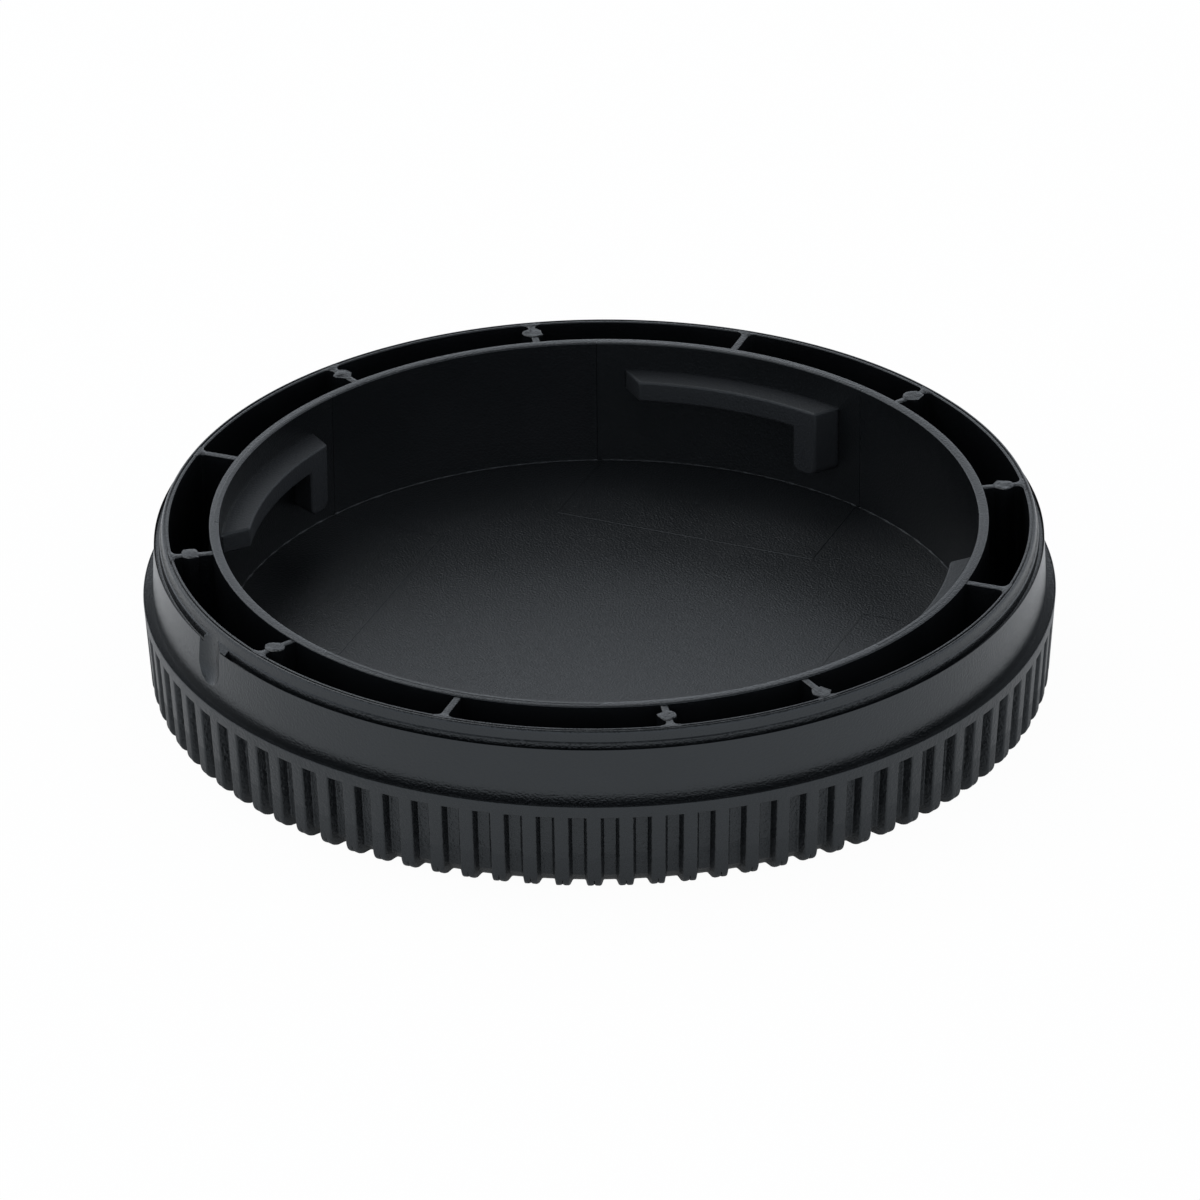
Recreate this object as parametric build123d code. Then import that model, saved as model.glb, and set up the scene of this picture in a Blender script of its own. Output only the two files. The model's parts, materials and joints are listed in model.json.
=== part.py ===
from build123d import *
from math import radians, tan
import os

# Rear lens cap, moulded in one piece: a shallow cup with bayonet lugs inside, an outer skirt
# with a ribbed grip, and an open gap between cup and skirt that thin webs bridge.
# Millimetres and degrees. +Z points out of the open side, the origin is the centre of the
# closed face that the cap rests on, and the index mark faces -Y.

# Cup: the bore that goes over the lens mount, straight at its mouth and drafted below
bore_radius = 27.8
bore_land = 2.0
ring_wall = 0.75
cup_depth = 9.9
floor_thickness = 2.0
wall_draft = 0.8

# Closed face: the flat ring that the cap stands on, and the recess inside it
foot_width = 3.55
recess_depth = 0.6

# Skirt, from the gap outwards: rim, lip, plain collar, ribbed grip
gap_width = 2.95
rim_drop = 0.12
rim_land = 0.2
rim_groove_width = 0.13
rim_groove_depth = 0.12
rim_bead = 0.12
lip_slope_width = 0.1
lip_slope_drop = 0.16
lip_draft_width = 0.2
lip_height = 1.15
lip_channel_depth = 0.3
collar_step = 0.35
collar_draft_width = 0.18
collar_height = 4.2
ledge_fall = 0.2
grip_step = 0.72
grip_draft = 5.1

# Grip ribs: the grooves between them
rib_count = 90
rib_phase = 1.0
groove_depth = 0.95
groove_floor_width = 1.0
groove_flare = 8.0
groove_draft = 2.5
grip_band_height = 1.0

# Webs across the gap, by their angle, and ejector-pin bosses on those that have one
web_count = 12
web_first_angle = 129.1
web_thickness = 0.55
web_flare = 0.5
plain_web_step = 3
shifted_web = 4
shifted_web_turn = -8.3
boss_radius = 0.57
boss_reach = 1.6
shifted_boss_reach = 2.3
boss_height = 0.06

# Bayonet lugs and the stop leg at the end of each
lug_count = 4
lug_first_angle = 127.7
lug_span = 36.6
lug_reach = 2.0
lug_drop = 2.2
lug_thickness = 1.65
lug_lead_angle = 2.9
lug_tail_angle = 1.8
stop_span = 6.2
stop_length = 5.3
stop_round = 0.7

# Index mark: a thumb-nail scoop in the collar, where the channel under the lip is filled
index_angle = -90.0
index_width = 3.3
index_depth = 0.38
index_reach = 4.4
fill_lead = 2.3
fill_span = 4.7

# Edge rounds
fine_round = 0.1
grip_foot_round = 0.25
grip_top_round = 0.2
collar_round = 0.12
gap_floor_round = 0.5
lug_round = 0.25

# Levels that follow from the sizes above
cup_floor = recess_depth + floor_thickness
ring_top = cup_floor + cup_depth
rim_top = ring_top - rim_drop
collar_top = rim_top - lip_height
ledge = collar_top - collar_height
lug_top = ring_top - lug_drop

# Radii that follow, from the axis outwards
draft_shift = cup_depth * tan(radians(wall_draft))
lug_inner_radius = bore_radius - lug_reach
ring_outer_radius = bore_radius + ring_wall
rim_inner_radius = ring_outer_radius + gap_width
rim_groove_inner = rim_inner_radius + rim_land
rim_groove_outer = rim_groove_inner + rim_groove_width
rim_outer_radius = rim_groove_outer + rim_bead
lip_radius = rim_outer_radius + lip_slope_width
lip_foot_radius = lip_radius + lip_draft_width
collar_radius = lip_foot_radius + collar_step
collar_foot_radius = collar_radius + collar_draft_width
grip_radius = collar_foot_radius + grip_step
grip_foot_radius = grip_radius - ledge * tan(radians(grip_draft))
foot_inner_radius = grip_foot_radius - foot_width

# How far a web or a lug runs into the wall that carries it
wall_overlap = ring_wall / 3


def nearest_corner(sketch, radius, height):
    """The corner of the revolved section that lies at this radius and height."""
    return sketch.vertices().sort_by_distance((radius, 0, height))[0]


def section():
    """Half of the cap's section, from the axis out, with its rounded corners."""
    corners = [
        (0, recess_depth),
        (foot_inner_radius - recess_depth / 2, recess_depth),
        (foot_inner_radius, 0),
        (grip_foot_radius, 0),
        (grip_radius, ledge),
        (collar_foot_radius, ledge - ledge_fall),
        (collar_radius, collar_top),
        (lip_foot_radius, collar_top - lip_channel_depth),
        (lip_radius, rim_top - lip_slope_drop),
        (rim_outer_radius, rim_top),
        (rim_groove_outer, rim_top),
        (rim_groove_outer, rim_top - rim_groove_depth),
        (rim_groove_inner, rim_top - rim_groove_depth),
        (rim_groove_inner, rim_top),
        (rim_inner_radius, rim_top),
        (rim_inner_radius - draft_shift, cup_floor),
        (ring_outer_radius + draft_shift, cup_floor),
        (ring_outer_radius, ring_top),
        (bore_radius, ring_top),
        (bore_radius, ring_top - bore_land),
        (bore_radius - draft_shift / 2, cup_floor),
        (0, cup_floor),
    ]
    outline = Polyline([(radius, 0, height) for radius, height in corners], close=True)
    face = make_face(outline)
    rounds = [
        (grip_foot_radius, 0, grip_foot_round),
        (grip_radius, ledge, grip_top_round),
        (collar_radius, collar_top, collar_round),
        (lip_radius, rim_top - lip_slope_drop, fine_round),
        (rim_inner_radius, rim_top, fine_round / 2),
        (rim_inner_radius - draft_shift, cup_floor, gap_floor_round),
        (ring_outer_radius + draft_shift, cup_floor, gap_floor_round),
        (ring_outer_radius, ring_top, fine_round),
        (bore_radius, ring_top, fine_round),
    ]
    for radius, height, corner_round in rounds:
        face = fillet(nearest_corner(face, radius, height), corner_round)
    return face


def grip_groove():
    """One groove of the grip, open at the foot, with flared sides and a drafted floor."""
    top = ledge - grip_band_height
    foot_radius = grip_foot_radius - groove_depth
    top_radius = foot_radius + top * tan(radians(groove_draft))
    reach = grip_radius + groove_depth
    half_floor = groove_floor_width / 2
    half_mouth = half_floor + (reach - top_radius) * tan(radians(groove_flare))
    profile = make_face(Polyline([
        (top_radius, -half_floor, top),
        (reach, -half_mouth, top),
        (reach, half_mouth, top),
        (top_radius, half_floor, top),
    ], close=True))
    down = Vector(-tan(radians(groove_draft)), 0, -1)
    return extrude(profile, (top + groove_depth) * down.length, dir=down.normalized())


def web(angle, reach_to_boss):
    """A thin web from the ring to the skirt, flared where it meets the skirt."""
    half = web_thickness / 2
    start = ring_outer_radius - wall_overlap
    end = rim_inner_radius + wall_overlap
    flare_start = rim_inner_radius - web_flare
    half_end = half + web_flare
    edge_low = Line((start, -half), (flare_start, -half))
    curve_low = RadiusArc((flare_start, -half), (rim_inner_radius, -half_end), -web_flare)
    side_low = Line((rim_inner_radius, -half_end), (end, -half_end))
    back = Line((end, -half_end), (end, half_end))
    side_high = Line((end, half_end), (rim_inner_radius, half_end))
    curve_high = RadiusArc((rim_inner_radius, half_end), (flare_start, half), -web_flare)
    edge_high = Line((flare_start, half), (start, half))
    front = Line((start, half), (start, -half))
    plan = make_face([edge_low, curve_low, side_low, back, side_high, curve_high, edge_high, front])
    foot = cup_floor - wall_overlap
    height = rim_top - foot
    piece = Pos(0, 0, foot) * extrude(plan, height)
    if reach_to_boss:
        on_foot = (Align.CENTER, Align.CENTER, Align.MIN)
        boss = Cylinder(boss_radius, height + boss_height, align=on_foot)
        piece += Pos(ring_outer_radius + reach_to_boss, 0, foot) * boss
    return Rot(0, 0, angle) * piece


def webs():
    """The webs round the gap. Every third one is plain, and one stands off its even place."""
    found = []
    for number in range(web_count):
        angle = web_first_angle - number * 360 / web_count
        reach = boss_reach
        if number % plain_web_step == 0:
            reach = 0
        if number == shifted_web:
            angle += shifted_web_turn
            reach = shifted_boss_reach
        found.append(web(angle, reach))
    return found


def lug_plan(start, end, lead, tail):
    """A lug's plan between two angles at the bore, its ends slanted towards the middle."""
    outer = bore_radius + wall_overlap
    lead_out = start - lead * wall_overlap / lug_reach
    tail_out = end + tail * wall_overlap / lug_reach
    outer_arc = CenterArc((0, 0), outer, lead_out, tail_out - lead_out)
    inner_arc = CenterArc((0, 0), lug_inner_radius, start + lead, end - tail - start - lead)
    sides = [Line(outer_arc @ 0, inner_arc @ 0), Line(outer_arc @ 1, inner_arc @ 1)]
    return make_face([outer_arc, inner_arc] + sides)


def bayonet_lug(centre_angle):
    """A lug under the rim of the bore, with the leg that stops the lens mount's turn."""
    start = centre_angle - lug_span / 2
    end = centre_angle + lug_span / 2
    bar = extrude(lug_plan(start, end, lug_tail_angle, lug_lead_angle), lug_thickness)
    bar = Pos(0, 0, lug_top - lug_thickness) * bar
    foot = lug_top - stop_length
    leg = extrude(lug_plan(start, start + stop_span, lug_tail_angle, 0), stop_length)
    leg = Pos(0, 0, foot) * leg
    foot_edges = leg.edges().filter_by_position(Axis.Z, foot, foot)
    leg = fillet(foot_edges.filter_by(GeomType.LINE), stop_round)
    lug = bar + leg
    inside = lug.edges().filter_by(
        lambda edge: max(Vector(v.X, v.Y).length for v in edge.vertices()) < bore_radius
    )
    return fillet(inside.filter_by(lambda edge: edge.center().Z > lug_top - fine_round), lug_round)


def channel_fill():
    """The short length of the channel under the lip that is filled, to carry the index scoop."""
    foot = collar_top - lip_height
    profile = make_face(Polyline([
        (rim_groove_outer, 0, foot),
        (collar_radius - collar_round, 0, foot),
        (collar_radius - collar_round, 0, collar_top - collar_round / 2),
        (lip_radius, 0, collar_top + lip_channel_depth / 2),
        (rim_groove_outer, 0, collar_top + lip_channel_depth / 2),
    ], close=True))
    return Rot(0, 0, index_angle - fill_lead) * revolve(profile, Axis.Z, fill_span)


def index_scoop():
    """A round-bottomed cut in the collar, open at its top."""
    radius = ((index_width / 2) ** 2 + index_depth ** 2) / (2 * index_depth)
    centre = collar_radius - index_depth + radius
    foot = ring_top - index_reach + index_width / 2
    channel = Cylinder(radius, index_reach, align=(Align.CENTER, Align.CENTER, Align.MIN))
    cutter = Pos(centre, 0, foot) * (channel + Sphere(radius))
    return Rot(0, 0, index_angle) * cutter


def rear_lens_cap():
    """The whole moulding."""
    cap = revolve(section(), Axis.Z, 360)
    groove = grip_groove()
    turns = [rib_phase + (number + 0.5) * 360 / rib_count for number in range(rib_count)]
    cap -= [Rot(0, 0, turn) * groove for turn in turns]
    cap += channel_fill()
    cap -= index_scoop()
    lug_angles = [lug_first_angle - number * 360 / lug_count for number in range(lug_count)]
    return cap + webs() + [bayonet_lug(angle) for angle in lug_angles]


os.makedirs("parts", exist_ok=True)
cap = rear_lens_cap()
export_step(cap, "parts/rear_lens_cap.step")
print("rear_lens_cap", round(cap.volume, 1), "mm3,", len(cap.solids()), "solid,", len(cap.faces()), "faces")
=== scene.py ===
# %% [markdown]
# # A rear lens cap, modelled and lit in Blender
#
# The real cap is one injection moulding in black plastic: a shallow cup that goes over the back
# of a lens, four bayonet lugs inside it, and an outer skirt with a ribbed grip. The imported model
# gives the size and the place. This notebook builds the same cap as a finer mesh, with the
# rounded edges, ribs and marks that a mould leaves, and gives it its finish.

import json
from math import atan2, cos, degrees, hypot, radians, sin, tan

import bmesh
import bpy
from mathutils import Matrix, Vector


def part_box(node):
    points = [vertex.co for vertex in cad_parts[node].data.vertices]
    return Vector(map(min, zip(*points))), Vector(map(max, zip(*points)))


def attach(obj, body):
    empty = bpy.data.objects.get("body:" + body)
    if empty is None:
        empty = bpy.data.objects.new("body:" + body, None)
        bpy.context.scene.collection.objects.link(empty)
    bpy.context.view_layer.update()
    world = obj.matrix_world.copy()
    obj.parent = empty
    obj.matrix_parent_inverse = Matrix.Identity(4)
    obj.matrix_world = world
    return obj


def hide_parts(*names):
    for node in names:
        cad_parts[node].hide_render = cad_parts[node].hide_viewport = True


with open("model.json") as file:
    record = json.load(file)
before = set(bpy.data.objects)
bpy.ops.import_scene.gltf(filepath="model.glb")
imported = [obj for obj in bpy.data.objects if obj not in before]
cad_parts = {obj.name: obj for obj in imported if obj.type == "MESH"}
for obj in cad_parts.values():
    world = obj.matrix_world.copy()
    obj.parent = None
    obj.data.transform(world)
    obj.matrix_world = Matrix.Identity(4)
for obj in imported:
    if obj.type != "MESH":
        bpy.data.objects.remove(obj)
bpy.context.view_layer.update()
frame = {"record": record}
CAP = "rear_lens_cap"
foot_corner, top_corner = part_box(CAP)
mounts = {mount["name"]: mount for mount in frame["record"]["mounts"]}
print("The packed cap is", [round(1000 * side, 2) for side in top_corner - foot_corner], "mm")

# %% [markdown]
# ## The sizes
#
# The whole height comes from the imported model, and the bore and the lugs' circle from its
# mounts, so the mesh follows the model. The other sizes are steps from one surface to the
# next, outwards from the bore and down from the top, as a mould maker would state them. NEAR is
# the slack for telling that a point is at a place, a thousandth of a millimetre.

# %% Sizes of the cap
MM = 0.001
NEAR = 0.001 * MM

height = top_corner.z
bore_radius = mounts["bayonet_bore"]["dims"]["r_mm"] * MM
lug_inner_radius = mounts["bayonet_lugs"]["dims"]["r_mm"] * MM
lug_thickness = mounts["bayonet_lugs"]["dims"]["length_mm"] * MM
lug_count = mounts["bayonet_lugs"]["dims"]["count"]
lug_top = mounts["bayonet_lugs"]["pos_m"][2] + lug_thickness / 2

ring_radius = bore_radius + 0.75 * MM
gap_radius = ring_radius + 2.95 * MM
rim_groove_inner = gap_radius + 0.2 * MM
rim_groove_outer = rim_groove_inner + 0.13 * MM
rim_radius = rim_groove_outer + 0.12 * MM
lip_radius = rim_radius + 0.1 * MM
lip_foot_radius = lip_radius + 0.17 * MM
collar_radius = lip_foot_radius + 0.38 * MM
collar_foot_radius = collar_radius + 0.18 * MM
grip_radius = collar_foot_radius + 0.7 * MM

cup_depth = 9.9 * MM
cup_floor = height - cup_depth
rim_top = height - 0.12 * MM
rim_groove_floor = rim_top - 0.12 * MM
lip_top = rim_top - 0.16 * MM
collar_top = rim_top - 1.15 * MM
lip_foot = collar_top - 0.36 * MM
bead_top = collar_top + 0.36 * MM
bead_edge = collar_top + 0.26 * MM
ledge = collar_top - 4.2 * MM
collar_foot = ledge - 0.38 * MM
collar_turn = ledge + 0.9 * MM
groove_top = ledge - 1.0 * MM
groove_knee = 0.85 * MM
bore_land_foot = height - 2.0 * MM
recess_height = 0.6 * MM

wall_lean = 0.14 * MM
grip_slope = tan(radians(4.2))
grip_foot_radius = grip_radius - ledge * grip_slope
groove_knee_radius = grip_foot_radius + groove_knee * grip_slope
groove_roof_radius = grip_radius - (ledge - groove_top) * grip_slope
foot_inner_radius = grip_foot_radius - 3.55 * MM
foot_outer_radius = grip_foot_radius - 1.8 * MM
ledge_inner_radius = collar_foot_radius - 0.06 * MM
collar_turn_radius = collar_foot_radius - 0.04 * MM
channel_mouth_radius = collar_radius - 0.1 * MM
bead_edge_radius = lip_foot_radius - 0.02 * MM
bead_top_radius = lip_foot_radius - 0.1 * MM
print("Grip radius", round(grip_radius / MM, 2), "mm, height", round(height / MM, 2), "mm")

# %% [markdown]
# ## Working by hand, in code
#
# An operator acts on what is selected. So each step first opens one piece alone, then picks
# the vertices, edges or faces that it needs by where they are, and then runs the operator that
# a modeller would run on them.

# %% Small helpers for selecting


def alone(piece):
    """Selects one piece and nothing else."""
    bpy.ops.object.select_all(action="DESELECT")
    piece.select_set(True)
    bpy.context.view_layer.objects.active = piece


def edit(piece):
    """Opens one piece in edit mode with nothing selected."""
    alone(piece)
    bpy.ops.object.mode_set(mode="EDIT")
    bpy.ops.mesh.select_mode(type="VERT")
    bpy.ops.mesh.select_all(action="DESELECT")


def leave():
    """Goes back to object mode."""
    bpy.ops.object.mode_set(mode="OBJECT")


def pick(kind, passes):
    """Selects the verts, edges or faces of the open piece that pass a test, and counts them."""
    bpy.ops.mesh.select_all(action="DESELECT")
    bpy.ops.mesh.select_mode(type={"verts": "VERT", "edges": "EDGE", "faces": "FACE"}[kind])
    data = bpy.context.edit_object.data
    mesh = bmesh.from_edit_mesh(data)
    chosen = [item for item in getattr(mesh, kind) if passes(item)]
    for item in chosen:
        item.select_set(True)
    mesh.select_flush_mode()
    bmesh.update_edit_mesh(data)
    return len(chosen)


def middle(item):
    """The middle of an edge or a face."""
    return sum((vert.co for vert in item.verts), Vector()) / len(item.verts)


def radius_of(point):
    """How far a point lies from the cap's axis."""
    return hypot(point.x, point.y)


def angle_of(point):
    """A point's angle round the axis, in degrees."""
    return degrees(atan2(point.y, point.x))


def place(radius, angle, level):
    """The point at this radius, this angle in degrees, and this level."""
    return Vector((radius * cos(radians(angle)), radius * sin(radians(angle)), level))


def crease(edge):
    """The angle between an edge's two faces, in degrees."""
    return degrees(edge.calc_face_angle(0))


# %% Helpers for the shapes that come back


def dot(point):
    """Adds one vertex at a point: a small plane, merged to its centre."""
    bpy.ops.mesh.primitive_plane_add(size=MM, location=point)
    if bpy.context.mode == "OBJECT":
        bpy.ops.object.transform_apply(location=True)
        bpy.ops.object.mode_set(mode="EDIT")
    bpy.ops.mesh.select_mode(type="VERT")
    bpy.ops.mesh.merge(type="CENTER")


def draw(points):
    """Draws a line of edges through the points, by extruding its end vertex."""
    dot(points[0])
    for here, there in zip(points, points[1:]):
        bpy.ops.mesh.extrude_region_move(TRANSFORM_OT_translate={"value": there - here})


def spin(angle, steps):
    """Spins what is selected round the axis, anticlockwise from above."""
    bpy.ops.mesh.spin(steps=steps, angle=-radians(angle), center=(0, 0, 0), axis=(0, 0, 1))


def turn(piece, angle):
    """Turns a finished piece round the axis, and keeps its place in its mesh."""
    alone(piece)
    piece.rotation_euler.z = radians(angle)
    bpy.ops.object.transform_apply(rotation=True)


def copy_of(piece, name):
    """A copy of a piece with its own mesh."""
    copy = piece.copy()
    copy.data = piece.data.copy()
    copy.name = name
    bpy.context.scene.collection.objects.link(copy)
    return copy


def close_up(threshold=0.0005 * MM):
    """Merges doubled vertices of the open piece and turns its faces outwards."""
    bpy.ops.mesh.select_all(action="SELECT")
    bpy.ops.mesh.remove_doubles(threshold=threshold)
    bpy.ops.mesh.normals_make_consistent(inside=False)


def open_edges(piece):
    """How many edges of a piece don't have exactly two faces."""
    mesh = bmesh.new()
    mesh.from_mesh(piece.data)
    found = sum(not edge.is_manifold for edge in mesh.edges)
    mesh.free()
    return found


def combine(body, tool, operation):
    """Adds a tool to the body or cuts it away with an exact boolean, and deletes the tool."""
    alone(body)
    modifier = body.modifiers.new(tool.name, "BOOLEAN")
    modifier.operation = operation
    modifier.solver = "EXACT"
    modifier.object = tool
    bpy.ops.object.modifier_apply(modifier=modifier.name)
    bpy.data.objects.remove(tool)
    print("The boolean leaves", len(body.data.polygons), "faces on the", body.name)


# %% [markdown]
# ## One rib's width of the cap
#
# Everything but the grip is a turned shape. A full turn could be spun at once, but then the
# ribs would have to be cut from it. Instead, the section is spun by one rib's width, four
# degrees, with a groove in its middle. The groove is modelled once, and the width is then
# repeated ninety times. The spin's columns stand where the groove's sides will be. The line
# stays open at the foot, between the grip and the underside, because the groove runs out there.

# %% The section line
RIB_COUNT = 90
rib_pitch = 360 / RIB_COUNT
mouth_width = 1.29 * MM
half_mouth = degrees(mouth_width / 2 / grip_foot_radius)
first_column = -rib_pitch / 2

UPPER_LINE = [
    (grip_foot_radius, 0),
    (groove_knee_radius, groove_knee),
    (groove_roof_radius, groove_top),
    (grip_radius, ledge),
    (ledge_inner_radius, collar_foot),
    (collar_turn_radius, collar_turn),
    (collar_radius, collar_top),
    (channel_mouth_radius, lip_foot),
    (lip_foot_radius, lip_foot),
    (bead_edge_radius, bead_edge),
    (bead_top_radius, bead_top),
    (lip_radius, lip_top),
    (rim_radius, rim_top),
    (rim_groove_outer, rim_top),
    (rim_groove_outer, rim_groove_floor),
    (rim_groove_inner, rim_groove_floor),
    (rim_groove_inner, rim_top),
    (gap_radius, rim_top),
    (gap_radius - wall_lean, cup_floor),
    (ring_radius + wall_lean, cup_floor),
    (ring_radius, height),
    (bore_radius, height),
    (bore_radius, bore_land_foot),
    (bore_radius - wall_lean / 2, cup_floor),
    (0, cup_floor),
]
LOWER_LINE = [
    (0, recess_height),
    (foot_inner_radius - recess_height / 2, recess_height),
    (foot_inner_radius, 0),
    (foot_outer_radius, 0),
]
# A corner, how far its round reaches in millimetres, and the number of edges in the round
CORNER_ROUNDS = [
    ((grip_radius, ledge), 0.1, 4),
    ((ledge_inner_radius, collar_foot), 0.04, 2),
    ((collar_turn_radius, collar_turn), 0.5, 4),
    ((collar_radius, collar_top), 0.1, 4),
    ((channel_mouth_radius, lip_foot), 0.04, 2),
    ((lip_foot_radius, lip_foot), 0.04, 2),
    ((lip_radius, lip_top), 0.08, 3),
    ((rim_radius, rim_top), 0.05, 2),
    ((rim_groove_outer, rim_top), 0.03, 2),
    ((rim_groove_inner, rim_top), 0.03, 2),
    ((gap_radius, rim_top), 0.07, 3),
    ((gap_radius - wall_lean, cup_floor), 0.5, 4),
    ((ring_radius + wall_lean, cup_floor), 0.5, 4),
    ((ring_radius, height), 0.1, 4),
    ((bore_radius, height), 0.1, 4),
    ((bore_radius - wall_lean / 2, cup_floor), 0.08, 2),
]

draw([place(radius, first_column, level) for radius, level in UPPER_LINE])
cap = bpy.context.edit_object
cap.name = "cap"
for (radius, level), reach, edges in CORNER_ROUNDS:
    corner = place(radius, first_column, level)
    pick("verts", lambda vert: (vert.co - corner).length < 2 * NEAR)
    bpy.ops.mesh.bevel(offset_type="OFFSET", offset=reach * MM, segments=edges, affect="VERTICES")
bpy.ops.mesh.select_all(action="DESELECT")
draw([place(radius, first_column, level) for radius, level in LOWER_LINE])
print("The section line has", len(bmesh.from_edit_mesh(cap.data).edges), "edges")

# %% Spin it to one rib's width
column_angles = [-half_mouth, 0, half_mouth, rib_pitch / 2]
bpy.ops.mesh.select_all(action="SELECT")
last = first_column
for column in column_angles:
    spin(column - last, 1)
    last = column
print("One rib's width has", len(bmesh.from_edit_mesh(cap.data).faces), "faces")

# %% [markdown]
# ## The groove between two ribs
#
# The grooves give the fingers a hold. Each could be cut with a boolean, but ninety cuts are
# slow, and pushing one in by hand leaves clean edges to round. The faces between the two middle
# columns are pushed in, and the floor that this makes is narrowed, so the sides slope as a
# mould needs. Near the foot the floor runs out inwards and the mouth widens, which makes the
# deep notches of the cap's outline. The wall that the extrusion leaves across the foot is
# deleted, because the groove is open there, and the foot is bridged to the underside.

# %% Push the groove in
groove_depth = 0.72 * MM
groove_floor_width = 0.89 * MM
run_out = 0.75 * MM
mouth_spread = 1.15
narrowing = groove_floor_width / mouth_width
groove_floor_radius = grip_foot_radius - groove_depth
groove_end_radius = grip_foot_radius - 1.5 * MM


def in_grip_panel(face):
    """Whether a face lies on the grip below the groove's top, between the middle columns."""
    centre = middle(face)
    low_enough = centre.z < groove_top and radius_of(centre) > groove_floor_radius
    return low_enough and abs(angle_of(centre)) < half_mouth and abs(face.normal.z) < 0.5


def across_the_groove(face):
    """Whether a face is the wall that the extrusion leaves across the groove's foot."""
    at_foot = all(abs(vert.co.z) < NEAR for vert in face.verts)
    return at_foot and min(radius_of(vert.co) for vert in face.verts) > groove_end_radius


def under_the_floor(vert):
    """Whether a point is at the foot of the groove's floor."""
    inside = groove_end_radius < radius_of(vert.co) < grip_foot_radius - groove_depth / 2
    return inside and abs(vert.co.z) < NEAR


def under_the_mouth(vert):
    """Whether a point is at the foot of one of the mouth's two edges."""
    outside = radius_of(vert.co) > grip_foot_radius - 0.1 * MM and abs(vert.co.z) < NEAR
    return outside and abs(abs(vert.co.y) - mouth_width / 2) < 0.1 * MM


print("Groove faces:", pick("faces", in_grip_panel))
bpy.ops.mesh.extrude_region_move(TRANSFORM_OT_translate={"value": (-groove_depth, 0, 0)})
bpy.ops.transform.resize(value=(1, narrowing, 1), center_override=(0, 0, 0))
print("Faces across its foot:", pick("faces", across_the_groove))
bpy.ops.mesh.delete(type="FACE")
print("Points that run out inwards:", pick("verts", under_the_floor))
bpy.ops.transform.translate(value=(-run_out, 0, 0))
print("Points that widen the mouth:", pick("verts", under_the_mouth))
bpy.ops.transform.resize(value=(1, mouth_spread, 1), center_override=(0, 0, 0))

# %% Bridge the ribbed foot to the underside


def across_the_foot(edge):
    """Whether an open edge at the foot runs round the cap, not out from its axis."""
    start, end = (vert.co for vert in edge.verts)
    open_at_foot = abs(start.z) + abs(end.z) < NEAR and edge.is_boundary
    outside = min(radius_of(start), radius_of(end)) > foot_outer_radius - 0.1 * MM
    runs_round = abs(angle_of(start) - angle_of(end)) > 0.01 or abs(angle_of(start)) < half_mouth
    return open_at_foot and outside and runs_round


print("Foot edges:", pick("edges", across_the_foot))
bpy.ops.mesh.bridge_edge_loops()
close_up()

# %% Round the rib's edges
foot_round = 0.75 * MM
rib_round = 0.11 * MM
groove_round = 0.1 * MM
least_crease = 30


def depth_of(point):
    """How far a point lies inside the grip's outer face."""
    return grip_foot_radius + point.z * grip_slope - radius_of(point)


def sharp_on_the_grip(edge):
    """Whether an edge is sharp and lies between the foot and the groove's roof."""
    level = middle(edge).z
    return crease(edge) > least_crease and 0.02 * MM < level < groove_top + 0.01 * MM


def under_a_rib(edge):
    """Whether an edge is the outer edge of a rib's foot."""
    start, end = (vert.co for vert in edge.verts)
    outside = min(radius_of(start), radius_of(end)) > grip_foot_radius - 0.01 * MM
    return outside and abs(start.z) + abs(end.z) < NEAR


def along_a_rib(edge):
    """Whether an edge is a sharp edge down a rib's side, under it, or along the groove's roof."""
    centre = middle(edge)
    outside = depth_of(centre) < 0.4 * groove_depth
    beneath = abs(centre.y) > 0.53 * MM and centre.z < MM
    return sharp_on_the_grip(edge) and (outside or beneath)


def down_the_groove(edge):
    """Whether an edge lies in a corner of the groove's floor."""
    centre = middle(edge)
    inside = depth_of(centre) > 0.8 * groove_depth and abs(centre.y) < 0.5 * MM
    return sharp_on_the_grip(edge) and inside


print("Foot edges to round:", pick("edges", under_a_rib))
bpy.ops.mesh.bevel(offset_type="OFFSET", offset=foot_round, segments=5, affect="EDGES")
print("Rib edges to round:", pick("edges", along_a_rib))
bpy.ops.mesh.bevel(offset_type="OFFSET", offset=rib_round, segments=3, affect="EDGES")
print("Groove corners to round:", pick("edges", down_the_groove))
bpy.ops.mesh.bevel(offset_type="OFFSET", offset=groove_round, segments=2, affect="EDGES")
leave()

# %% [markdown]
# ## Ninety times round
#
# The whole turned body is ninety equal widths. They could be copied and joined by hand, but an
# array does it in one step. It steps by an empty that is turned by one rib's width. Its merge
# joins each width to the next, and merging what is doubled joins the last to the first, so the
# cap becomes one closed skin.

# %% Repeat the rib's width
bpy.ops.object.select_all(action="DESELECT")
bpy.ops.object.empty_add(location=(0, 0, 0), rotation=(0, 0, radians(rib_pitch)))
step = bpy.context.object
alone(cap)
array = cap.modifiers.new("ribs", "ARRAY")
array.count = RIB_COUNT
array.use_relative_offset = False
array.use_object_offset = True
array.offset_object = step
array.use_merge_vertices = True
array.merge_threshold = NEAR
bpy.ops.object.modifier_apply(modifier=array.name)
bpy.data.objects.remove(step)
edit(cap)
close_up(2 * NEAR)
leave()
rib_phase = 1.0
turn(cap, rib_phase + rib_pitch / 2)
print("The turned body has", len(cap.data.polygons), "faces and", open_edges(cap), "open edges")

# %% [markdown]
# ## The index mark
#
# A thumb finds the cap's index by a scoop in the collar, which runs up to the lip. The channel
# between the collar and the lip is filled there, so that the scoop has a wall behind it all the
# way. A short length of filling is spun and added first. Then a round-ended rod cuts the scoop,
# as a ball-nosed cutter would cut it, which gives it its round foot.

# %% The filled length of the channel
index_angle = -90.0
fill_start = index_angle - 2.0
fill_span = 5.7

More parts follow.
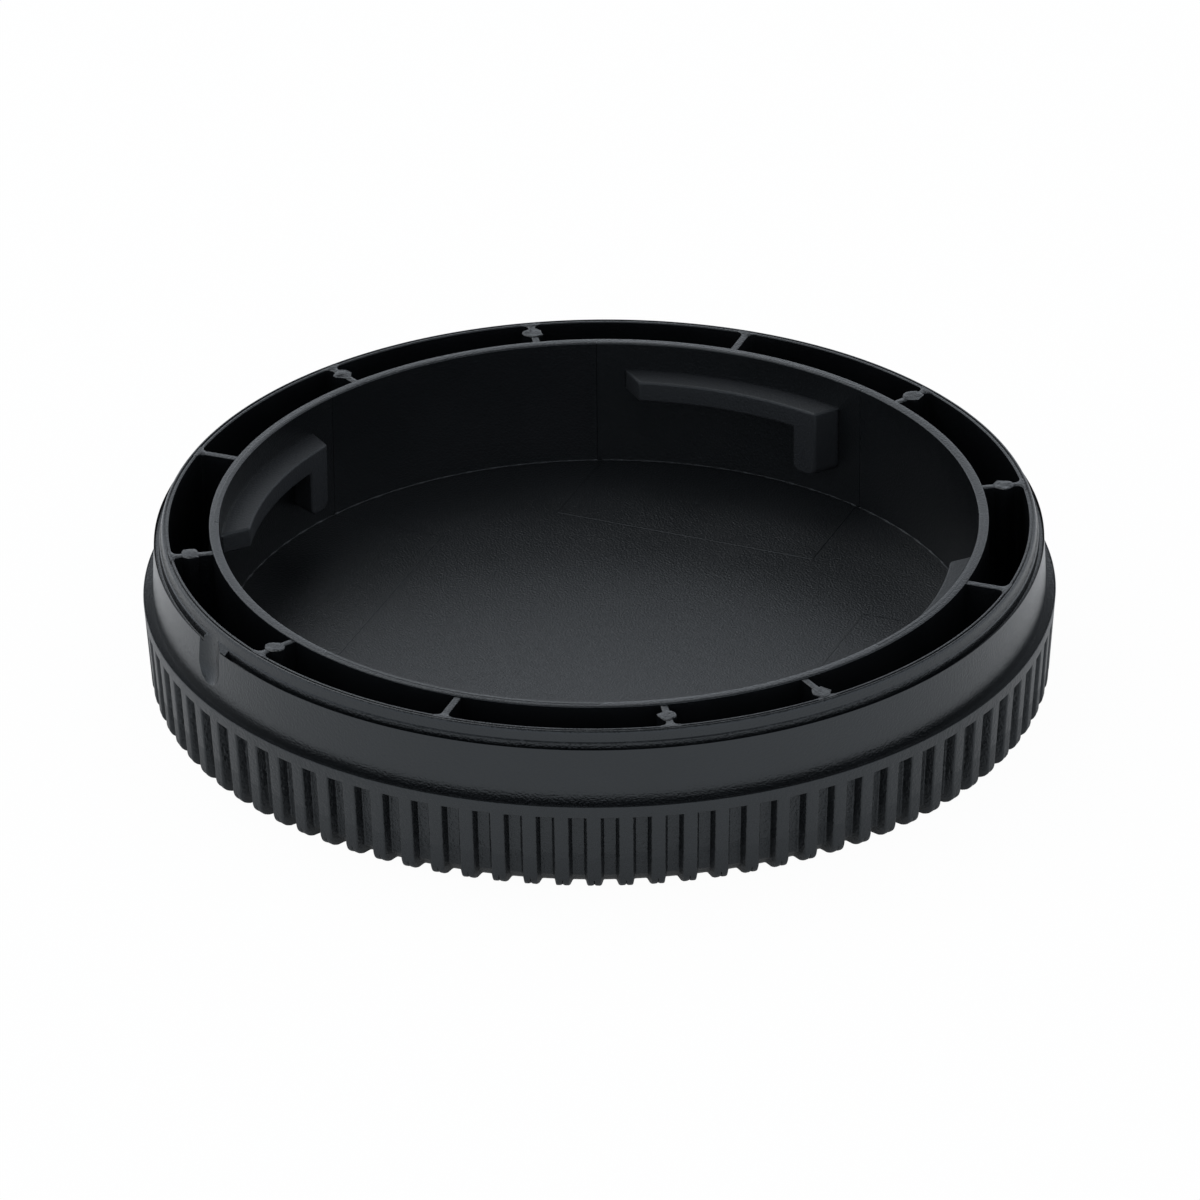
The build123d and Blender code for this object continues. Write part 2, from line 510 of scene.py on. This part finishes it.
fill_foot = collar_top - 1.1 * MM
fill_shoulder = collar_top - 0.03 * MM
fill_top = bead_edge + 0.03 * MM
fill_radius = collar_radius - 0.07 * MM
fill_top_radius = lip_foot_radius - 0.04 * MM
draw([place(radius, fill_start, level) for radius, level in [
    (rim_groove_outer, fill_foot),
    (fill_radius, fill_foot),
    (fill_radius, fill_shoulder),
    (fill_top_radius, fill_top),
    (rim_groove_outer, fill_top),
]])
filling = bpy.context.edit_object
filling.name = "channel_fill"
bpy.ops.mesh.select_all(action="SELECT")
bpy.ops.mesh.edge_face_add()
spin(fill_span, 6)
close_up()
leave()
combine(cap, filling, "UNION")

# %% The scoop
scoop_width = 2.9 * MM
scoop_depth = 0.52 * MM
scoop_reach = 4.35 * MM
scoop_radius = ((scoop_width / 2) ** 2 + scoop_depth ** 2) / (2 * scoop_depth)
scoop_axis = collar_radius - scoop_depth + scoop_radius
scoop_foot = height - scoop_reach + scoop_width / 2

bpy.ops.object.select_all(action="DESELECT")
bpy.ops.mesh.primitive_uv_sphere_add(
    segments=96, ring_count=48, radius=scoop_radius, location=place(scoop_axis, index_angle, scoop_foot))
scoop = bpy.context.object
scoop.name = "index_scoop"
bpy.ops.object.transform_apply(location=True)
edit(scoop)
bpy.ops.mesh.select_all(action="SELECT")
bpy.ops.mesh.bisect(plane_co=(0, 0, scoop_foot), plane_no=(0, 0, 1), clear_outer=True)
pick("edges", lambda edge: edge.is_boundary)
bpy.ops.mesh.extrude_region_move(TRANSFORM_OT_translate={"value": (0, 0, height - scoop_foot + MM)})
bpy.ops.mesh.edge_face_add()
close_up()
leave()
combine(cap, scoop, "DIFFERENCE")

# %% [markdown]
# ## The webs
#
# Twelve thin webs tie the ring to the skirt. Each widens into the skirt with a small round.
# On eight of them the mould has an ejector pin, which leaves a rough nub. A web could be a
# block, but its widening end is what a moulder would look for. So it is drawn from above, from
# its narrow end outwards, and pushed down to the floor of the gap. The nub's outline is drawn
# once too, and each copy of it is torn in its own way before it is pushed down, because no two
# of them are alike.

# %% One web
web_half = 0.275 * MM
web_flare = 0.5 * MM
web_bite = 0.25 * MM
web_round = 0.07 * MM
flare_steps = 5


def widths():
    """The web's places outwards from the axis, and its half width at each."""
    stations = [(ring_radius - web_bite, web_half), (gap_radius - web_flare, web_half)]
    for number in range(1, flare_steps + 1):
        along = web_flare * number / flare_steps
        bulge = web_flare - (web_flare ** 2 - along ** 2) ** 0.5
        stations.append((gap_radius - web_flare + along, web_half + bulge))
    return stations + [(gap_radius + web_bite, web_half + web_flare)]


stations = widths()
first_station, first_half = stations[0]
draw([Vector((first_station, -first_half, rim_top)), Vector((first_station, first_half, rim_top))])
web = bpy.context.edit_object
web.name = "web"
for (here, narrow), (there, wide) in zip(stations, stations[1:]):
    pick("verts", lambda vert: abs(vert.co.x - here) < NEAR)
    bpy.ops.mesh.select_mode(type="EDGE")
    bpy.ops.mesh.extrude_region_move(TRANSFORM_OT_translate={"value": (there - here, 0, 0)})
    bpy.ops.transform.resize(value=(1, wide / narrow, 1), center_override=(0, 0, 0))
bpy.ops.mesh.select_all(action="SELECT")
web_depth = rim_top - cup_floor + web_bite
bpy.ops.mesh.extrude_region_move(TRANSFORM_OT_translate={"value": (0, 0, -web_depth)})
close_up()
print("The web has", len(bmesh.from_edit_mesh(web.data).faces), "faces before its edges are rounded")

# %% Round the web's top


def beside_the_top(edge):
    """Whether an edge runs along one side of the web's top."""
    centre = middle(edge)
    return crease(edge) > 45 and centre.z > rim_top - 0.01 * MM and abs(centre.y) > web_half / 2


print("Edges along the web's top:", pick("edges", beside_the_top))
bpy.ops.mesh.bevel(offset_type="OFFSET", offset=web_round, segments=2, affect="EDGES")
leave()
print("The web has", len(web.data.polygons), "faces and", open_edges(web), "open edges")

# %% One ejector-pin nub
nub_radius = 0.72 * MM
nub_top = rim_top + 0.02 * MM
outline_tear = 0.2 * MM
edge_width = 0.08 * MM
edge_rise = 0.02 * MM
crown_width = 0.18 * MM
crown_tear = 0.07 * MM

bpy.ops.object.select_all(action="DESELECT")
bpy.ops.mesh.primitive_circle_add(
    vertices=12, radius=nub_radius, fill_type="NGON", location=(ring_radius, 0, nub_top))
nub = bpy.context.object
nub.name = "nub"
bpy.ops.object.transform_apply(location=True)
print("The nub's outline has", len(nub.data.vertices), "points")


def rough_nub(name, reach, seed):
    """A copy of the nub's outline, torn and uneven, pushed down to the foot of the gap."""
    piece = copy_of(nub, name)
    edit(piece)
    bpy.ops.mesh.select_all(action="SELECT")
    bpy.ops.transform.vertex_random(offset=outline_tear, uniform=0.0, normal=0.0, seed=seed)
    bpy.ops.transform.resize(value=(1, 1, 0), center_override=(0, 0, nub_top))
    bpy.ops.mesh.extrude_region_move(TRANSFORM_OT_translate={"value": (0, 0, -cup_depth)})
    close_up()
    pick("faces", lambda face: face.normal.z > 0.9)
    bpy.ops.mesh.inset(thickness=edge_width)
    bpy.ops.transform.translate(value=(0, 0, edge_rise))
    bpy.ops.mesh.inset(thickness=crown_width)
    bpy.ops.mesh.poke()
    pick("verts", lambda vert: vert.co.z > nub_top - 0.2 * MM and abs(vert.co.z - nub_top) > NEAR)
    bpy.ops.transform.vertex_random(offset=crown_tear, uniform=0.0, normal=0.0, seed=seed + 20)
    bpy.ops.mesh.select_all(action="SELECT")
    bpy.ops.transform.translate(value=(reach, 0, 0))
    close_up()
    leave()
    return piece


# %% All the webs and nubs
WEB_COUNT = 12
web_first_angle = 129.1
plain_web_step = 3
shifted_web = 4
shifted_web_turn = -8.3
nub_reach = 1.6 * MM
shifted_nub_reach = 2.3 * MM

for number in range(WEB_COUNT):
    angle = web_first_angle - number * 360 / WEB_COUNT
    reach = nub_reach
    if number == shifted_web:
        angle += shifted_web_turn
        reach = shifted_nub_reach
    piece = copy_of(web, f"web_{number + 1}")
    if number % plain_web_step:
        combine(piece, rough_nub(f"nub_{number + 1}", reach, number), "UNION")
    turn(piece, angle)
    combine(cap, piece, "UNION")
bpy.data.objects.remove(web)
bpy.data.objects.remove(nub)
print("After the webs the cap has", open_edges(cap), "open edges")

# %% [markdown]
# ## The bayonet lugs
#
# A lens mount's tabs pass between the four lugs, turn under them and stop against a leg at the
# clockwise end of each. A bent block would do for the bar, but its ends would be square. So the
# lug is drawn from above as two arcs with equal steps, the inner one shorter, and its ends
# slant. The arcs are bridged and pushed down, and the two faces underneath its clockwise end
# are pushed down further for the leg. The finished lug is then copied to its places.

# %% One lug
lug_span = 36.6
lug_tail = 1.8
lug_lead = 2.9
lug_steps = 14
leg_steps = 2
leg_length = 5.3 * MM
leg_round = 0.7 * MM
lug_round = 0.2 * MM
wall_bite = 0.25 * MM

dot(place(bore_radius + wall_bite, -lug_span / 2, lug_top))
lug = bpy.context.edit_object
lug.name = "lug"
spin(lug_span, lug_steps)
bpy.ops.mesh.select_all(action="DESELECT")
dot(place(lug_inner_radius, lug_tail - lug_span / 2, lug_top))
spin(lug_span - lug_tail - lug_lead, lug_steps)
bpy.ops.mesh.select_all(action="SELECT")
bpy.ops.mesh.bridge_edge_loops()
bpy.ops.mesh.select_all(action="SELECT")
bpy.ops.mesh.extrude_region_move(TRANSFORM_OT_translate={"value": (0, 0, -lug_thickness)})
close_up()
print("The lug's bar has", len(bmesh.from_edit_mesh(lug.data).faces), "faces")

# %% Its stop leg, and its rounded edges
leg_end = lug_span * (leg_steps / lug_steps - 0.5)
leg_foot = lug_top - leg_length

pick("faces", lambda face: face.normal.z < -0.9 and angle_of(middle(face)) < leg_end + 0.3)
bpy.ops.mesh.extrude_region_move(TRANSFORM_OT_translate={"value": (0, 0, lug_thickness - leg_length)})


def crosses_the_foot(edge):
    """Whether an edge is one of the two that cross the leg's foot towards the axis."""
    near, far = (vert.co for vert in edge.verts)
    across = abs(radius_of(near) - radius_of(far)) > MM
    return across and abs(middle(edge).z - leg_foot) < NEAR and crease(edge) > 45


print("Edges across the leg's foot:", pick("edges", crosses_the_foot))
bpy.ops.mesh.bevel(offset_type="OFFSET", offset=leg_round, segments=5, affect="EDGES")
pick("edges", lambda edge: crease(edge) > 35 and radius_of(middle(edge)) < bore_radius)
bpy.ops.mesh.bevel(offset_type="OFFSET", offset=lug_round, segments=3, affect="EDGES")
close_up()
leave()
print("The lug has", len(lug.data.polygons), "faces and", open_edges(lug), "open edges")

# %% All the lugs
lug_first_angle = 127.7
for number in range(lug_count):
    piece = copy_of(lug, f"lug_{number + 1}")
    turn(piece, lug_first_angle - number * 360 / lug_count)
    combine(cap, piece, "UNION")
bpy.data.objects.remove(lug)
print("After the lugs the cap has", open_edges(cap), "open edges")

# %% [markdown]
# ## Smooth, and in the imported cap's place
#
# Rounded faces are shaded smooth and true edges stay sharp. Smooth shading alone would bend the
# light on a large face beside a small round, and show as streaks. Weighting the normals by area
# keeps the large faces flat up to their rounds. The finished mesh then stands for the packed
# node, and rides on its body.

# %% Shade it and put it in place
cap.name = "cap_moulding"
alone(cap)
bpy.ops.object.shade_smooth_by_angle(angle=radians(32))
weighting = cap.modifiers.new("weighted_normals", "WEIGHTED_NORMAL")
weighting.keep_sharp = True
bpy.ops.object.modifier_apply(modifier=weighting.name)
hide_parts(CAP)
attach(cap, "root")
print("The finished cap has", len(cap.data.polygons), "faces")

# %% [markdown]
# ## Writing a material as sums
#
# Shader maths is easier to read as a sum than as a web of nodes. This small class wraps a
# node's socket: an expression on it adds the Math nodes. Any other node comes from one method.

# %% A socket that can be reckoned with


class Shade:
    """A value that varies over a surface."""

    def __init__(self, tree, socket=None):
        self.tree = tree
        self.socket = socket

    def node(self, kind, settings, inputs, output=0):
        """Adds a node, sets it, feeds its sockets, and gives one of its outputs."""
        node = self.tree.nodes.new(kind)
        for name, value in settings.items():
            setattr(node, name, value)
        for name, value in inputs.items():
            if isinstance(value, Shade):
                self.tree.links.new(value.socket, node.inputs[name])
            else:
                node.inputs[name].default_value = value
        return Shade(self.tree, node.outputs[output] if node.outputs else None)

    def sum(self, operation, *terms):
        """A Math node on these terms."""
        return self.node("ShaderNodeMath", {"operation": operation}, dict(enumerate(terms)))

    def __add__(self, other):
        return self.sum("ADD", self, other)

    def __sub__(self, other):
        return self.sum("SUBTRACT", self, other)

    def __rsub__(self, other):
        return self.sum("SUBTRACT", other, self)

    def __mul__(self, other):
        return self.sum("MULTIPLY", self, other)

    __radd__ = __add__
    __rmul__ = __mul__

    def rise(self, low, high):
        """0 below low, 1 above high, and smooth between them."""
        limits = {"Value": self, "From Min": low, "From Max": high}
        return self.node("ShaderNodeMapRange", {"interpolation_type": "SMOOTHSTEP"}, limits)

    def between(self, low, high):
        """A colour that is low where this value is 0, and high where it is 1."""
        return self.node("ShaderNodeMix", {"data_type": "RGBA"}, {"Factor": self, 6: low, 7: high}, 2)


# %% [markdown]
# ## Black moulded plastic
#
# The plastic is nearly black, and almost all that is seen of it is what it reflects, so its
# roughness and its grain matter more than its colour. The mould is polished at the collar and
# the rim, finely blasted on the floor of the cup, and coarser on the grip. A painted map could
# say where each finish lies, but every part of a turned cap has its own radius and height, so
# the masks are worked out from those.

# %% Where each finish lies
plastic = bpy.data.materials.new("black_moulding")
plastic.use_nodes = True
tree = plastic.node_tree
tree.nodes.clear()
start = Shade(tree)
position = start.node("ShaderNodeTexCoord", {}, {}, "Object")
x, y, z = (start.node("ShaderNodeSeparateXYZ", {}, {"Vector": position}, axis) for axis in "XYZ")
radius = start.sum("SQRT", x * x + y * y)

on_grip = radius.rise(collar_foot_radius - 1.2 * MM, collar_foot_radius - 1.0 * MM) * (
    1 - z.rise(ledge - 0.02 * MM, ledge + 0.02 * MM))
on_ledge = z.rise(ledge - 0.5 * MM, ledge - 0.45 * MM) * (
    1 - radius.rise(grip_radius - 0.12 * MM, grip_radius - 0.07 * MM))
on_grip = on_grip * (1 - on_ledge)
on_floor = 1 - z.rise(cup_floor + 0.02 * MM, cup_floor + 0.1 * MM)
on_lug = (1 - radius.rise(bore_radius - 0.16 * MM, bore_radius - 0.12 * MM)) * (1 - on_floor)
print("The masks take", len(tree.nodes), "nodes")

# %% [markdown]
# ## The marks of the mould's inserts
#
# Each lug is shaped by an insert in the mould, whose outline shows on the wall and the floor of
# the cup. The step is far finer than any edge worth cutting into the mesh, so it is left to the
# bump. The four inserts lie a quarter turn apart, so folding the plane at its axes and then at
# its diagonal leaves one to draw.

# %% The outlines of the inserts
lug_turn = radians(lug_first_angle)
along = start.sum("ABSOLUTE", x * cos(lug_turn) + y * sin(lug_turn))
aside = start.sum("ABSOLUTE", y * cos(lug_turn) - x * sin(lug_turn))
outwards = start.sum("MAXIMUM", along, aside)
sideways = start.sum("MINIMUM", along, aside)
line_width = 0.07 * MM
insert_half = 10.2 * MM
insert_inner = 16.8 * MM
insert_angle = 22.3
on_floor_insert = outwards.rise(insert_inner, insert_inner + line_width) * (
    1 - sideways.rise(insert_half, insert_half + line_width))
past_insert = sideways - outwards * tan(radians(insert_angle))
on_wall_insert = 1 - past_insert.rise(0, line_width)
in_bore = z.rise(cup_floor - 0.2 * MM, cup_floor - 0.1 * MM) * (
    1 - radius.rise(bore_radius + 0.3 * MM, bore_radius + 0.4 * MM))
insert = (on_wall_insert + (on_floor_insert - on_wall_insert) * on_floor) * in_bore
print("With the inserts there are", len(tree.nodes), "nodes")

# %% [markdown]
# ## The grain and the colour
#
# A blasted mould leaves an even grain. A picture of grain would show a seam somewhere on a
# round thing, but noise that is worked out from the place has none. Its size is that of the
# real grain, fine everywhere and coarser on the grip. A slow, large noise keeps the polish and
# the black from being the same all over.

# %% Grain, roughness and colour
polish = 0.24
rougher_grip = 0.16
rougher_floor = 0.12
rougher_lug = 0.28
rougher_insert = 0.06
rougher_cloud = 0.06
rougher_grain = 0.05
fine_relief = 0.65
floor_relief = 0.15
insert_relief = 1.5
black = (0.0036, 0.0042, 0.0048, 1)
greyer_black = (0.0052, 0.0058, 0.0066, 1)
lug_black = (0.014, 0.015, 0.017, 1)


def noise(size, detail):
    """Even noise with grains of about this size, from 0 to 1."""
    inputs = {"Vector": position, "Scale": 1 / size, "Detail": detail}
    return start.node("ShaderNodeTexNoise", {"noise_dimensions": "3D"}, inputs)


fine_grain = noise(0.16 * MM, 2.0)
coarse_grain = noise(0.3 * MM, 3.0)
clouding = noise(7 * MM, 4.0)

roughness = polish + rougher_grip * on_grip + rougher_floor * on_floor + rougher_lug * on_lug
roughness = roughness + rougher_insert * insert * (1 - on_floor)
roughness = roughness + rougher_cloud * (clouding - 0.5) + rougher_grain * (fine_grain - 0.5)
grain = fine_grain * (fine_relief + floor_relief * on_floor) + coarse_grain * on_grip
grain = grain + insert * insert_relief
bump = start.node("ShaderNodeBump", {}, {"Strength": 0.9, "Distance": 0.07 * MM, "Height": grain})
tone = on_lug.between(clouding.rise(0.35, 0.65).between(black, greyer_black), lug_black)
surface = start.node("ShaderNodeBsdfPrincipled", {}, {
    "Base Color": tone, "Roughness": roughness, "Normal": bump, "IOR": 1.56,
    "Specular Tint": (0.9, 0.96, 1.0, 1)})
start.node("ShaderNodeOutputMaterial", {}, {"Surface": surface})
cap.data.materials.clear()
cap.data.materials.append(plastic)
print("The plastic has", len(tree.nodes), "nodes")

# %% [markdown]
# ## The floor and the light
#
# The cap stands on a plain white floor in an evenly lit white studio. A black, shiny thing
# shows its form by what it mirrors, so the surroundings do most of the work, and one large
# soft lamp adds a little direction. More lamps would only add spots of glare. The floor and the
# surroundings are plain white to the camera, and dimmer in what the cap mirrors of them. The
# floor still takes the cap's soft shadow.

# %% A white floor
bpy.ops.object.select_all(action="DESELECT")
bpy.ops.mesh.primitive_plane_add(size=6, location=(0, 0, 0))
floor = bpy.context.object
floor.name = "studio_floor"
white = bpy.data.materials.new("studio_white")
white.use_nodes = True
tree = white.node_tree
tree.nodes.clear()
start = Shade(tree)
floor_grey = (0.9, 0.9, 0.9, 1)
plain_white = (1, 1, 1, 1)
matt = start.node("ShaderNodeBsdfDiffuse", {}, {"Color": floor_grey})
glow = start.node("ShaderNodeEmission", {}, {"Color": plain_white, "Strength": 1.0})
seen = start.node("ShaderNodeLightPath", {}, {}, "Is Camera Ray")
mirrored = start.node("ShaderNodeLightPath", {}, {}, "Is Glossy Ray")
glowing = seen * 0.97 + mirrored * 0.3
floor_mix = start.node("ShaderNodeMixShader", {}, {0: glowing, 1: matt, 2: glow})
start.node("ShaderNodeOutputMaterial", {}, {"Surface": floor_mix})
floor.data.materials.append(white)
print("The floor is", round(floor.dimensions.x, 2), "m wide")

# %% A white studio all round
world = bpy.data.worlds.new("studio")
bpy.context.scene.world = world
world.use_nodes = True
tree = world.node_tree
tree.nodes.clear()
start = Shade(tree)
rays = {name: start.node("ShaderNodeLightPath", {}, {}, name)
        for name in ("Is Camera Ray", "Is Glossy Ray", "Is Transmission Ray")}
direct = start.sum("MAXIMUM", rays["Is Camera Ray"], rays["Is Transmission Ray"])
gaze = start.node("ShaderNodeTexCoord", {}, {}, "Generated")
gaze_height = start.node("ShaderNodeSeparateXYZ", {}, {"Vector": gaze}, "Z")
cool_white = (0.93, 0.98, 1.05, 1)
studio_level = 0.75
ceiling_level = 0.2
mirror_level = 1 - (1 - ceiling_level) * gaze_height.rise(0.5, 0.62)
strength = studio_level + (1 - studio_level) * direct + (
    (mirror_level - studio_level) * rays["Is Glossy Ray"])
colour = rays["Is Camera Ray"].between(cool_white, plain_white)
sky = start.node("ShaderNodeBackground", {}, {"Color": colour, "Strength": strength})
start.node("ShaderNodeOutputWorld", {}, {"Surface": sky})
print("The studio takes", len(tree.nodes), "nodes")

# %% One large soft lamp
bpy.ops.object.light_add(type="AREA", location=(-0.5, -0.1, 0.7))
lamp = bpy.context.object
lamp.name = "soft_lamp"
lamp.data.size = 0.6
lamp.data.energy = 2.0
aim = Vector((0, 0, height)) - lamp.location
lamp.rotation_euler = aim.to_track_quat("-Z", "Y").to_euler()
print("The lamp hangs", round(aim.length, 2), "m from the cap")

# %% [markdown]
# ## The camera
#
# The photograph was taken with a long lens, from 28 degrees above the table, and leans very
# slightly. The ellipses of the rim, the ring and the grip fix the angle and the distance. The
# camera looks at a point just below the middle of the ring's top.

# %% The camera
camera_bearing = -30.0
camera_elevation = 28.48
camera_roll = -0.57
camera_distance = 1002.7 * MM
aim_drop = 6.0 * MM
aim_side = 0.085 * MM
focal_length = 411.0

outward = place(cos(radians(camera_elevation)), camera_bearing, sin(radians(camera_elevation)))
level_right = place(1, camera_bearing + 90, 0)
level_up = outward.cross(level_right)
lean = radians(camera_roll)
right = level_right * cos(lean) + level_up * sin(lean)
up = level_up * cos(lean) - level_right * sin(lean)
target = Vector((0, 0, height)) - up * aim_drop + right * aim_side
camera_data = bpy.data.cameras.new("camera")
camera_data.lens = focal_length
camera_data.sensor_width = 36
camera = bpy.data.objects.new("camera", camera_data)
bpy.context.scene.collection.objects.link(camera)
camera.matrix_world = Matrix.Translation(target + outward * camera_distance) @ Matrix(
    (right, up, outward)).transposed().to_4x4()
bpy.context.scene.camera = camera
bpy.context.scene.view_settings.view_transform = "Standard"
print("The camera stands at", [round(value, 3) for value in camera.matrix_world.translation])
